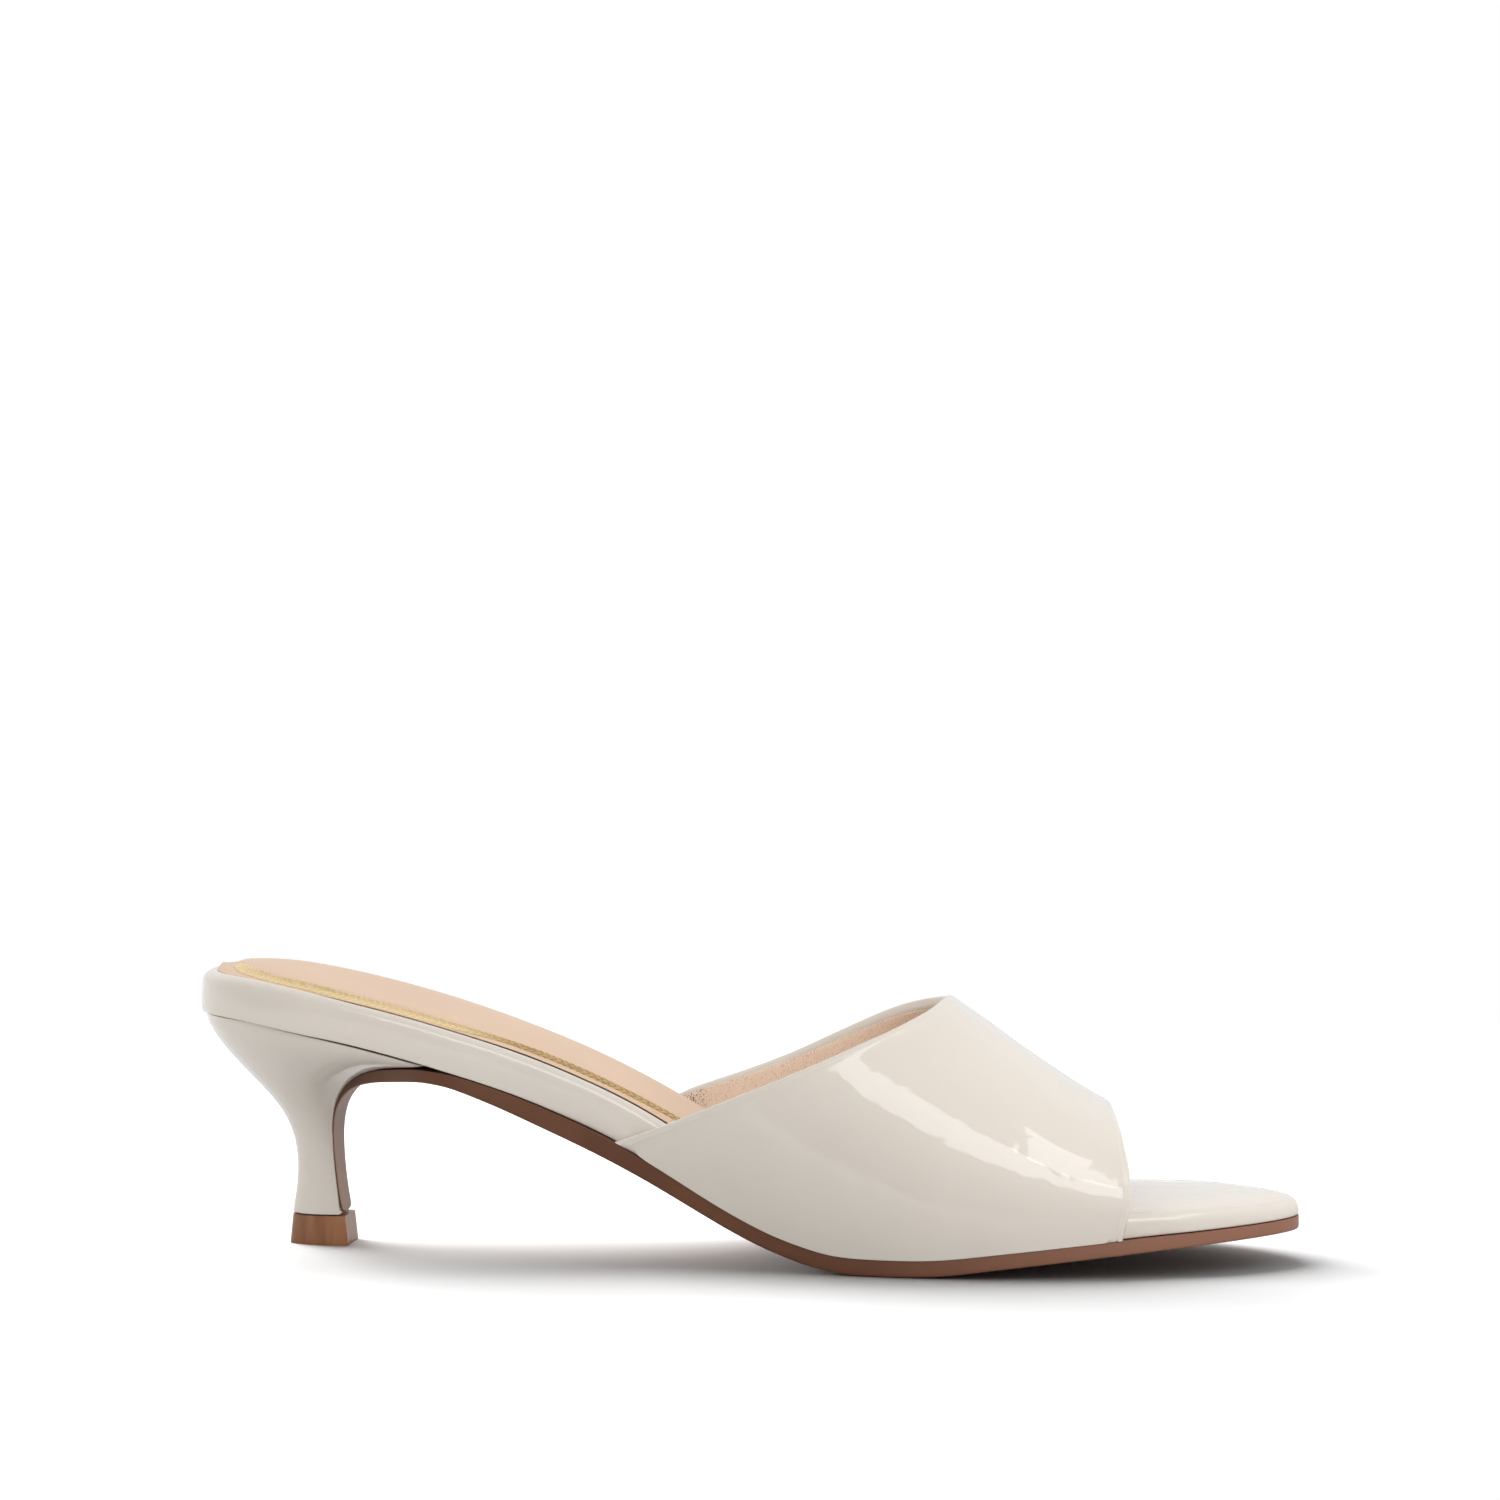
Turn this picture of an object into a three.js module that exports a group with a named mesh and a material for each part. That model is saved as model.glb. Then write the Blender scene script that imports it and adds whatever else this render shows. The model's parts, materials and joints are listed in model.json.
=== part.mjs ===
// A heeled open-toe slide for the right foot, in millimetres.
// +X points to the toe, +Y to the inner side of the foot, +Z up, and the floor is at Z = 0.
// The origin is on the floor, half way along and half way across the shoe.
import * as THREE from "three";

// Sizes of the whole shoe.
const shoeLength = 246;
const ballWidth = 73.4;
const seatHeight = 52.6;
const toeSpring = 6.5;
const pieceGap = 0.3;

// Sole.
const soleThickness = 3.6;
const shankThickness = 4.3;
const soleToeThickness = 2.9;
const soleEdgeInset = 0.2;
const soleBevel = 0.5;
const flapThickness = 0.7;
const flapInset = 0.3;

// Footbed, a board and pad covered all over.
const footbedHeelThickness = 9.2;
const footbedToeThickness = 4.6;
const footbedTopRound = 2.4;
const footbedBottomRound = 0.5;
const rimWidth = 3.3;
const trayDepth = 0.7;
const toePadCrown = 1.1;
const toePadReach = 16;

// Insole, a thin padded sock that lies in the footbed's tray.
const insoleLength = 196;
const insoleFrontRound = 20;
const insoleEdge = 0.7;
const insoleCrown = 1.8;
const insoleReach = 13;

// Upper, one wide band over the forefoot. Its three places are measured from the back of the shoe.
const upperWall = 1.8;
const toplineFold = 1.5;
const frontFold = 1.6;
const mostFoldShare = 0.14;
const bandBack = 97.5;
const bandThroat = 167.6;
const bandFront = 210.4;
const frontSweep = 8.8;
const instepHeight = 52.9;
const openingHeight = 26;
const sideBulge = 4.4;
const ridgeShift = 3;
const footbedRecess = 1.1;
const recessLead = 4;
const recessFade = 6;
const soleFade = 30;

// Heel and its top piece.
const heelSeatLength = 55;
const heelInset = 1;
const topPieceHeight = 6.6;
const topPieceFrontReach = 1;
const topPieceWidth = 11.8;
const topPieceFrontFlare = 0.7;
const topPieceBackFlare = 0.7;
const topPieceSquare = 0.7;

// How finely the forms are divided.
const capSteps = 6;
const bodySteps = 24;
const flapSteps = 20;
const acrossSteps = 8;
const bandStepsAlong = 18;
const bandStepsAround = 32;
const heelArcSteps = 12;
const heelBreastSteps = 4;

// Outline of the footbed from above: half widths on the outer and inner side, as shares of half the ball
// width.
const outlineTable = [
  { along: 0.0, outer: 0.725, inner: 0.725 },
  { along: 0.12, outer: 0.735, inner: 0.73 },
  { along: 0.22, outer: 0.715, inner: 0.69 },
  { along: 0.32, outer: 0.672, inner: 0.575 },
  { along: 0.42, outer: 0.705, inner: 0.54 },
  { along: 0.52, outer: 0.825, inner: 0.66 },
  { along: 0.62, outer: 0.96, inner: 0.87 },
  { along: 0.68, outer: 1.0, inner: 0.975 },
  { along: 0.74, outer: 0.975, inner: 1.0 },
  { along: 0.82, outer: 0.86, inner: 0.925 },
  { along: 0.9, outer: 0.69, inner: 0.76 },
  { along: 1.0, outer: 0.44, inner: 0.49 },
];
const heelRoundShare = 0.113;
const toeRoundShare = 0.094;
const toeRoundPower = 1.9;

// Side view of the line where footbed and sole meet: rise as a share of the lift from ball to seat, and
// spring as a share of the toe spring. Bed is the footbed's thickness between its toe (0) and heel (1)
// values. Shank and thin blend the sole's thickness towards its shank and toe values.
const sideTable = [
  { along: 0.0, rise: 1.0, spring: 0, bed: 1, shank: 0, thin: 1 },
  { along: 0.05, rise: 0.994, spring: 0, bed: 1, shank: 0, thin: 1 },
  { along: 0.1, rise: 0.953, spring: 0, bed: 1, shank: 0, thin: 1 },
  { along: 0.15, rise: 0.9, spring: 0, bed: 1, shank: 0, thin: 1 },
  { along: 0.2, rise: 0.837, spring: 0, bed: 1, shank: 0, thin: 1 },
  { along: 0.25, rise: 0.763, spring: 0, bed: 1, shank: 0.1, thin: 0.9 },
  { along: 0.3, rise: 0.682, spring: 0, bed: 1, shank: 0.6, thin: 0.2 },
  { along: 0.35, rise: 0.582, spring: 0, bed: 1, shank: 1, thin: 0 },
  { along: 0.4, rise: 0.465, spring: 0, bed: 0.98, shank: 0.8, thin: 0 },
  { along: 0.45, rise: 0.322, spring: 0, bed: 0.93, shank: 0.2, thin: 0.2 },
  { along: 0.5, rise: 0.18, spring: 0, bed: 0.85, shank: 0, thin: 0.35 },
  { along: 0.55, rise: 0.069, spring: 0, bed: 0.74, shank: 0, thin: 0.2 },
  { along: 0.61, rise: 0, spring: 0, bed: 0.63, shank: 0, thin: 0 },
  { along: 0.67, rise: 0, spring: 0, bed: 0.53, shank: 0, thin: 0 },
  { along: 0.75, rise: 0, spring: 0.28, bed: 0.42, shank: 0, thin: 0.35 },
  { along: 0.845, rise: 0, spring: 0.63, bed: 0.3, shank: 0, thin: 0.6 },
  { along: 0.93, rise: 0, spring: 0.9, bed: 0.04, shank: 0, thin: 0.9 },
  { along: 1.0, rise: 0, spring: 1.0, bed: -0.05, shank: 0, thin: 1 },
];

// The band's form along it, from its back to its front: ridge is the height over the sole between the
// opening's (0) and the instep's (1) value, square the power of its arched section, and bulge a share of the
// side bulge.
const ridgeTable = [
  { along: 0.0, ridge: 1.73, square: 2.3, bulge: 0.9 },
  { along: 0.25, ridge: 1.7, square: 2.3, bulge: 1 },
  { along: 0.42, ridge: 1.52, square: 2.3, bulge: 0.72 },
  { along: 0.63, ridge: 1.0, square: 2.3, bulge: 0.4 },
  { along: 0.785, ridge: 0.475, square: 2.35, bulge: 0.26 },
  { along: 0.94, ridge: 0.0, square: 2.45, bulge: 0.2 },
  { along: 1.0, ridge: -0.13, square: 2.5, bulge: 0.2 },
];

// The band's back edge, the topline: how far it has come from the band's back (0) to the throat (1), on the
// outer and inner side, as the section turns from the sole (0) to the ridge (1).
const toplineTable = [
  { along: 0.0, outer: 0, inner: 0 },
  { along: 0.02, outer: 0.057, inner: 0.03 },
  { along: 0.05, outer: 0.122, inner: 0.08 },
  { along: 0.1, outer: 0.215, inner: 0.178 },
  { along: 0.15, outer: 0.297, inner: 0.273 },
  { along: 0.2, outer: 0.38, inner: 0.36 },
  { along: 0.26, outer: 0.475, inner: 0.46 },
  { along: 0.34, outer: 0.594, inner: 0.573 },
  { along: 0.41, outer: 0.684, inner: 0.66 },
  { along: 0.48, outer: 0.77, inner: 0.743 },
  { along: 0.56, outer: 0.85, inner: 0.828 },
  { along: 0.65, outer: 0.911, inner: 0.904 },
  { along: 0.76, outer: 0.961, inner: 0.968 },
  { along: 0.88, outer: 0.99, inner: 0.994 },
  { along: 1.0, outer: 1, inner: 1 },
];

// The band's front edge: how far it is swept back, as a share of the full sweep, once round the section from
// the sole on the outer side (0) over the ridge to the sole on the inner side (1).
const frontTable = [
  { along: 0.0, sweep: 0.17 },
  { along: 0.06, sweep: 0.02 },
  { along: 0.11, sweep: 0 },
  { along: 0.17, sweep: 0.015 },
  { along: 0.21, sweep: 0.06 },
  { along: 0.28, sweep: 0.18 },
  { along: 0.35, sweep: 0.305 },
  { along: 0.42, sweep: 0.45 },
  { along: 0.485, sweep: 0.61 },
  { along: 0.54, sweep: 0.74 },
  { along: 0.6, sweep: 0.85 },
  { along: 0.68, sweep: 0.93 },
  { along: 0.76, sweep: 0.975 },
  { along: 0.88, sweep: 0.99 },
  { along: 1.0, sweep: 1 },
];

// The heel, level by level from the seat down, as slanted sections from its back edge to its breast. Along
// is a share of the seat's length and up of the height over the top piece at that end. Half and breast are
// half widths as shares of the seat's, and seat is how far the level still follows the footbed's outline and
// curve.
const heelTable = [
  { backAlong: 0, backUp: 1, frontAlong: 1, frontUp: 1, half: 1, breast: 1, seat: 1 },
  { backAlong: 0.007, backUp: 0.955, frontAlong: 0.945, frontUp: 0.99, half: 0.985, breast: 0.87, seat: 0.8 },
  { backAlong: 0.04, backUp: 0.885, frontAlong: 0.867, frontUp: 0.978, half: 0.93, breast: 0.74, seat: 0.45 },
  { backAlong: 0.096, backUp: 0.8, frontAlong: 0.789, frontUp: 0.963, half: 0.84, breast: 0.61, seat: 0.2 },
  { backAlong: 0.168, backUp: 0.71, frontAlong: 0.695, frontUp: 0.925, half: 0.72, breast: 0.49, seat: 0.05 },
  { backAlong: 0.233, backUp: 0.63, frontAlong: 0.622, frontUp: 0.865, half: 0.6, breast: 0.4, seat: 0 },
  { backAlong: 0.29, backUp: 0.552, frontAlong: 0.576, frontUp: 0.785, half: 0.49, breast: 0.335, seat: 0 },
  { backAlong: 0.334, backUp: 0.472, frontAlong: 0.547, frontUp: 0.69, half: 0.395, breast: 0.29, seat: 0 },
  { backAlong: 0.364, backUp: 0.375, frontAlong: 0.533, frontUp: 0.553, half: 0.315, breast: 0.25, seat: 0 },
  { backAlong: 0.374, backUp: 0.27, frontAlong: 0.535, frontUp: 0.389, half: 0.26, breast: 0.225, seat: 0 },
  { backAlong: 0.373, backUp: 0.175, frontAlong: 0.543, frontUp: 0.251, half: 0.232, breast: 0.212, seat: 0 },
  { backAlong: 0.363, backUp: 0.08, frontAlong: 0.554, frontUp: 0.113, half: 0.223, breast: 0.21, seat: 0 },
  { backAlong: 0.351, backUp: 0, frontAlong: 0.562, frontUp: 0, half: 0.226, breast: 0.214, seat: 0 },
];

// Thickness of the sole's flap from its lower end (0) to the seat's front (1), between the flap's (0) and
// the sole's own (1).
const flapTable = [
  { along: 0.0, thick: 0.15 },
  { along: 0.05, thick: 0.04 },
  { along: 0.1, thick: 0 },
  { along: 0.38, thick: 0 },
  { along: 0.47, thick: 0.22 },
  { along: 0.53, thick: 0.54 },
  { along: 0.62, thick: 0.92 },
  { along: 0.72, thick: 1.06 },
  { along: 1.0, thick: 1 },
];

const lerp = THREE.MathUtils.lerp;
const clamp = THREE.MathUtils.clamp;
const smoothstep = THREE.MathUtils.smoothstep;

// A smooth curve through one column of a table, without overshoot between its rows.
function column(table, name) {
  const at = table.map((row) => row.along);
  const value = table.map((row) => row[name]);
  const slope = at.slice(1).map((x, i) => (value[i + 1] - value[i]) / (x - at[i]));
  const tangent = at.map((x, i) => {
    if (i === 0) return slope[0];
    if (i === at.length - 1) return slope[i - 1];
    if (slope[i - 1] * slope[i] <= 0) return 0;
    return (2 * slope[i - 1] * slope[i]) / (slope[i - 1] + slope[i]);
  });
  return (along) => {
    const x = clamp(along, at[0], at[at.length - 1]);
    let i = 0;
    while (i < at.length - 2 && x > at[i + 1]) i += 1;
    const step = at[i + 1] - at[i];
    const t = (x - at[i]) / step;
    const start = value[i] * (1 + 2 * t) * (1 - t) ** 2 + tangent[i] * step * t * (1 - t) ** 2;
    const end = value[i + 1] * t * t * (3 - 2 * t) + tangent[i + 1] * step * t * t * (t - 1);
    return start + end;
  };
}

const outline = { outer: column(outlineTable, "outer"), inner: column(outlineTable, "inner") };
const side = {
  rise: column(sideTable, "rise"),
  spring: column(sideTable, "spring"),
  bed: column(sideTable, "bed"),
  shank: column(sideTable, "shank"),
  thin: column(sideTable, "thin"),
};
const band = {
  ridge: column(ridgeTable, "ridge"),
  square: column(ridgeTable, "square"),
  bulge: column(ridgeTable, "bulge"),
  outer: column(toplineTable, "outer"),
  inner: column(toplineTable, "inner"),
  sweep: column(frontTable, "sweep"),
};

const backX = -shoeLength / 2;
const frontX = shoeLength / 2;
const shareOf = (x) => (x - backX) / shoeLength;
const heelRound = heelRoundShare * shoeLength;
const toeRound = toeRoundShare * shoeLength;

// Height and tilt of the line where footbed and sole meet.
function bottomZ(x) {
  const s = shareOf(x);
  return soleThickness + (seatHeight - soleThickness) * side.rise(s) + toeSpring * side.spring(s);
}
function bottomTilt(x) {
  const reach = 1;
  return Math.atan2(bottomZ(x + reach) - bottomZ(x - reach), 2 * reach);
}

// A point that lies up above the bottom line, square to it.
function overBottom(x, y, up) {
  const tilt = bottomTilt(x);
  return new THREE.Vector3(x - up * Math.sin(tilt), y, bottomZ(x) + up * Math.cos(tilt));
}

// Half width of the last's outline at x. Hand is -1 on the outer side and 1 on the inner one.
function halfWidth(x, hand) {
  const s = clamp(shareOf(x), 0, 1);
  const wide = ((hand < 0 ? outline.outer(s) : outline.inner(s)) * ballWidth) / 2;
  const heelCap = Math.sqrt(1 - (1 - Math.min(1, s / heelRoundShare)) ** 2);
  const toeShare = 1 - Math.min(1, (1 - s) / toeRoundShare);
  const toeCap = (1 - toeShare ** toeRoundPower) ** (1 / toeRoundPower);
  return wide * heelCap * toeCap;
}

// The band's places along the shoe, and how far x is under the band, from 0 to 1.
const bandBackX = backX + bandBack;
const bandThroatX = backX + bandThroat;
const bandFrontX = backX + bandFront;
function underBand(x, fade) {
  const start = smoothstep(x, bandBackX - recessLead - fade, bandBackX - recessLead);
  const end = smoothstep(x, bandFrontX + recessLead, bandFrontX + recessLead + fade);
  return start * (1 - end);
}

// The footbed draws in under the band, and the sole stands out with the band's outer face.
const bandProud = upperWall + pieceGap - footbedRecess;
const footbedHalf = (x, hand) =>
  Math.max(0, halfWidth(x, hand) - footbedRecess * underBand(x, recessFade));
const soleHalf = (x, hand) => Math.max(0, halfWidth(x, hand) + bandProud * underBand(x, soleFade));

// Stations from one end to the other, crowded towards a rounded end.
function stations(from, to, roundFrom, roundTo, steps = bodySteps) {
  const list = [];
  const start = from + roundFrom;
  const end = to - roundTo;
  for (let i = 0; i < capSteps && roundFrom > 0; i += 1) {
    list.push(from + roundFrom * (1 - Math.cos((i / capSteps) * (Math.PI / 2))));
  }
  for (let i = 0; i < steps; i += 1) list.push(lerp(start, end, i / steps));
  for (let i = 0; i <= capSteps; i += 1) {
    list.push(end + roundTo * Math.sin((i / capSteps) * (Math.PI / 2)));
  }
  return list;
}

// An outline in plan, as its outer and inner side from one end to the other.
function planOf(list, half) {
  const run = (hand) => list.map((x) => new THREE.Vector2(x, hand * half(x, hand)));
  return { outer: run(-1), inner: run(1) };
}

// The same outline moved inwards, square to its edge.
function inset(plan, distance) {
  const loop = [...plan.outer, ...plan.inner.slice().reverse()];
  const n = loop.length;
  const near = 1e-6;
  const moved = loop.map((point, i) => {
    let before = i;
    let after = i;
    do before = (before + n - 1) % n;
    while (loop[before].distanceTo(point) < near);
    do after = (after + 1) % n;
    while (loop[after].distanceTo(point) < near);
    const along = loop[after].clone().sub(loop[before]).normalize();
    return new THREE.Vector2(point.x - along.y * distance, point.y + along.x * distance);
  });
  return { outer: moved.slice(0, n / 2), inner: moved.slice(n / 2).reverse() };
}

// Collects points and faces into one closed geometry with shared vertices.
class Skin {
  constructor() {
    this.points = [];
    this.known = new Map();
    this.faces = [];
  }
  add(p) {
    const finest = 5e-4;
    const key = [p.x, p.y, p.z].map((v) => Math.round(v / finest)).join(",");
    if (!this.known.has(key)) {
      this.known.set(key, this.points.length / 3);
      this.points.push(p.x, p.y, p.z);
    }
    return this.known.get(key);
  }
  triangle(a, b, c) {
    if (a !== b && b !== c && c !== a) this.faces.push(a, b, c);
  }
  quad(a, b, c, d) {
    this.triangle(a, b, c);
    this.triangle(a, c, d);
  }
  // Joins two rows of equal length; closed also joins their ends.
  strip(low, high, closed = false) {
    const n = low.length;
    for (let i = 0; i < (closed ? n : n - 1); i += 1) {
      const j = (i + 1) % n;
      this.quad(low[i], low[j], high[j], high[i]);
    }
  }
  // Joins each row to the next, facing up when the rows run from the outer side to the inner one.
  sheet(rows, up) {
    rows.slice(1).forEach((row, i) => (up ? this.strip(row, rows[i]) : this.strip(rows[i], row)));
  }
  geometry() {
    const made = new THREE.BufferGeometry();
    made.setAttribute("position", new THREE.Float32BufferAttribute(this.points, 3));
    made.setIndex(this.faces);
    made.computeVertexNormals();
    return made;
  }
}

// A bent slab. Each ring is an inset of the plan with a height, from the underside's edge to the top's edge.
// Place turns plan and height into a point. A slab whose plan is closed at both ends may have a crown, which
// gives the top's height from the distance to its edge.
function slab(plan, rings, place, crown) {
  const skin = new Skin();
  const put = (p, up) => skin.add(place(p.x, p.y, up));
  const loops = rings.map((ring) => {
    const edge = inset(plan, ring.in);
    const outer = edge.outer.map((p) => put(p, ring.up(p.x)));
    const inner = edge.inner.map((p) => put(p, ring.up(p.x)));
    return { edge, outer, inner, loop: [...outer, ...inner.slice().reverse()] };
  });
  loops.slice(1).forEach((next, i) => skin.strip(loops[i].loop, next.loop, true));
  const flatRows = ({ outer, inner }) => outer.map((start, i) => [start, inner[i]]);
  const crownedRows = ({ edge, outer, inner }, up) =>
    outer.map((start, i) => {
      const width = edge.outer[i].distanceTo(edge.inner[i]);
      const row = [start];
      for (let k = 1; k < acrossSteps; k += 1) {
        const across = (1 - Math.cos((Math.PI * k) / acrossSteps)) / 2;
        const p = edge.outer[i].clone().lerp(edge.inner[i], across);
        row.push(put(p, up(p.x) + crown(p.x, width * Math.min(across, 1 - across))));
      }
      return [...row, inner[i]];
    });
  const top = loops.length - 1;
  skin.sheet(flatRows(loops[0]), false);
  skin.sheet(crown ? crownedRows(loops[top], rings[top].up) : flatRows(loops[top]), true);
  return skin.geometry();
}

// A domed edge: full height from reach inwards.
const dome = (height, reach, edge) => height * (1 - (1 - Math.min(1, edge / reach)) ** 2);

// The footbed's tray ends in front of the insole, and the toe pad is crowned from there on.
const insoleFrontX = backX + rimWidth + insoleLength;
const trayFade = 8;
const inTray = (x) => 1 - smoothstep(x, insoleFrontX, insoleFrontX + trayFade);
const footbedThickness = (x) => lerp(footbedToeThickness, footbedHeelThickness, side.bed(shareOf(x)));
const trayTop = (x) => footbedThickness(x) - trayDepth * inTray(x);

function footbed() {
  const under = pieceGap / 2;
  const part = 1 - Math.SQRT1_2;
  const rings = [
    { in: footbedBottomRound, up: () => under },
    { in: footbedBottomRound * part, up: () => under + footbedBottomRound * part },
    { in: 0, up: () => under + footbedBottomRound },
    { in: 0, up: (x) => footbedThickness(x) - footbedTopRound },
    { in: footbedTopRound * part, up: (x) => footbedThickness(x) - footbedTopRound * part },
    { in: footbedTopRound, up: footbedThickness },
    { in: rimWidth, up: trayTop },
  ];
  const plan = planOf(stations(backX, frontX, heelRound, toeRound), footbedHalf);
  const crown = (x, edge) => dome(toePadCrown, toePadReach, edge) * (1 - inTray(x));
  return slab(plan, rings, overBottom, crown);
}

// The insole follows the footbed's rim and ends in a rounded front under the band.
function insole() {
  const list = stations(backX, insoleFrontX, heelRound, insoleFrontRound);
  const half = (x, hand) => {
    const left = 1 - clamp((insoleFrontX - x) / insoleFrontRound, 0, 1);
    return footbedHalf(x, hand) * Math.sqrt(1 - left ** 2);
  };
  const plan = inset(planOf(list, half), rimWidth + pieceGap);
  const base = (x) => footbedThickness(x) - trayDepth + pieceGap;
  const rings = [
    { in: 0, up: base },
    { in: 0, up: (x) => base(x) + insoleEdge / 2 },
    { in: insoleEdge / 2, up: (x) => base(x) + insoleEdge },
  ];
  return slab(plan, rings, overBottom, (x, edge) => dome(insoleCrown, insoleReach, edge));
}

// A point of the band: turn runs from 0 at the sole on the outer side to 1 at the sole on the inner side, and
// depth is measured inwards from the outer face.
function bandPoint(x, turn, depth) {
  const share = (x - bandBackX) / (bandFrontX - bandBackX);
  const angle = turn * Math.PI;
  const hand = turn < 0.5 ? -1 : 1;
  const ridge = (at) => lerp(openingHeight, instepHeight, band.ridge(at));
  const step = 0.02;
  const rise = (ridge(share + step) - ridge(share - step)) / (2 * step * (bandFrontX - bandBackX));
  const height = ridge(share) - depth * Math.hypot(1, rise + Math.tan(bottomTilt(x)));
  const power = 2 / band.square(share);
  const half = halfWidth(x, hand) + bandProud - depth;
  const across = Math.abs(Math.cos(angle)) ** power;
  const up = Math.sin(angle) ** power;
  const bulge = sideBulge * band.bulge(share) * Math.abs(Math.sin(2 * angle));
  const shift = ridgeShift * Math.sin(angle) ** 2;
  const z = bottomZ(x) + pieceGap / 2 + height * up;
  return new THREE.Vector3(x, hand * (half * across + bulge) + shift, z);
}

// The band's back edge, the topline, and its front edge, at a turn round the section.
function bandEdges(turn) {
  const quarter = turn < 0.5 ? 2 * turn : 2 - 2 * turn;
  const risen = turn < 0.5 ? band.outer(quarter) : band.inner(quarter);
  return { back: lerp(bandBackX, bandThroatX, risen), front: bandFrontX - frontSweep * band.sweep(turn) };
}

// The band's stations at a turn. The second and the last but one lie inside the two edges by the width that is
// folded in there, square to the edge.
function bandStations(turn) {
  const step = 0.01;
  const { back, front } = bandEdges(turn);
  const edgeAt = (t) => bandPoint(bandEdges(t).back, t, 0);
  const edge = edgeAt(Math.min(1, turn + step)).sub(edgeAt(Math.max(0, turn - step)));
  const along = bandPoint(back + 1, turn, 0).sub(bandPoint(back, turn, 0));
  const most = mostFoldShare * (front - back);
  const start = back + Math.min(toplineFold / Math.sin(edge.angleTo(along)) / along.length(), most);
  const end = front - frontFold;
  const between = bandStepsAlong - 2;
  const list = Array.from({ length: between + 1 }, (_, i) => lerp(start, end, i / between));
  return [back, ...list, front];
}

function upper() {
  const skin = new Skin();
  const face = (depth) =>
    Array.from({ length: bandStepsAround + 1 }, (_, j) => {
      const turn = j / bandStepsAround;
      return bandStations(turn).map((x) => skin.add(bandPoint(x, turn, depth)));
    });
  const outer = face(0);
  const inner = face(upperWall);
  skin.sheet(outer, false);
  skin.sheet(inner, true);
  const end = bandStepsAlong;
  skin.strip(outer.map((row) => row[0]), inner.map((row) => row[0]));
  skin.strip(inner.map((row) => row[end]), outer.map((row) => row[end]));
  skin.strip(inner[0], outer[0]);
  skin.strip(outer[bandStepsAround], inner[bandStepsAround]);
  return skin.geometry();
}

// The heel's seat, its back edge and its breast, level by level.
const heelBackX = backX + heelInset;
const lipX = heelBackX + heelSeatLength;
const seatHalf = halfWidth(backX + heelRound, 1) - heelInset;
const insetShare = seatHalf / (seatHalf + heelInset);
const heelFootZ = topPieceHeight + pieceGap;
const seatZ = (x) => bottomZ(x) - pieceGap / 2;

function heelLevel(row) {
  const at = (along, up, topX) =>
    new THREE.Vector2(lerp(heelBackX, lipX, along), lerp(heelFootZ, seatZ(topX), up));
  const back = at(row.backAlong, row.backUp, heelBackX);
  const front = at(row.frontAlong, row.frontUp, lipX);
  const turn = Math.PI - Math.asin(row.breast / row.half);
  const run = (hand) =>
    Array.from({ length: heelArcSteps + 1 }, (_, k) => {
      const angle = (k / heelArcSteps) * turn;
      const share = (1 - Math.cos(angle)) / (1 - Math.cos(turn));
      const p = back.clone().lerp(front, share);
      const seatX = lerp(heelBackX, lipX, share);
      const sag = seatZ(seatX) - lerp(seatZ(heelBackX), seatZ(lipX), share);
      const seat = halfWidth(lerp(backX, lipX, share), hand) * insetShare * row.half;
      const arc = Math.sin(angle) * seatHalf * row.half;
      return new THREE.Vector3(p.x, hand * lerp(arc, seat, row.seat), p.y + sag * row.seat);
    });
  return { front, outer: run(-1), inner: run(1) };
}
const heelLevels = heelTable.map(heelLevel);

function heel() {
  const skin = new Skin();
  const rowsOf = ({ outer, inner }) =>
    outer.map((start, i) =>
      Array.from({ length: heelBreastSteps + 1 }, (_, k) =>
        skin.add(start.clone().lerp(inner[i], k / heelBreastSteps)),
      ),
    );
  const grids = heelLevels.map(rowsOf);
  const loops = grids.map((rows) => {
    const outer = rows.map((row) => row[0]);
    const inner = rows.map((row) => row[heelBreastSteps]);
    const breast = rows[heelArcSteps].slice(1, -1);
    return [...outer, ...breast, ...inner.reverse()];
  });
  loops.slice(1).forEach((next, i) => skin.strip(next, loops[i], true));
  skin.sheet(grids[0], true);
  skin.sheet(grids[grids.length - 1], false);
  return skin.geometry();
}

// The sole's path: the bottom line, then from the join a curve through the heel's breast down to the top
// piece. A place on it is named by x ahead of the join, and behind it by the join's x less the distance along
// the curve.
const joinLead = 6;
const joinX = lipX + joinLead;
const breastLevels = heelLevels.slice(1);
const breastCurve = new THREE.CatmullRomCurve3([
  ...[2, 1, 0].map((k) => new THREE.Vector3(joinX + joinLead * k, 0, seatZ(joinX + joinLead * k))),
  ...breastLevels.map(({ front }) => new THREE.Vector3(front.x, 0, front.y)),
]);
const curveSpans = breastCurve.points.length - 1;
const spanDivisions = 40;
breastCurve.arcLengthDivisions = curveSpans * spanDivisions;
const curveLengths = breastCurve.getLengths();
const knotLength = (k) => curveLengths[k * spanDivisions];
const joinKnot = 2;
const flapLength = knotLength(curveSpans) - knotLength(joinKnot);
const flapEndX = joinX - flapLength;

function overSole(u, y, up) {
  if (u >= joinX) return overBottom(u, y, up - pieceGap / 2);
  const onCurve = clamp((knotLength(joinKnot) + joinX - u) / knotLength(curveSpans), 0, 1);
  const p = breastCurve.getPointAt(onCurve);
  const t = breastCurve.getTangentAt(onCurve);
  return new THREE.Vector3(p.x + up * t.z, y, p.z - up * t.x);
}

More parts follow.
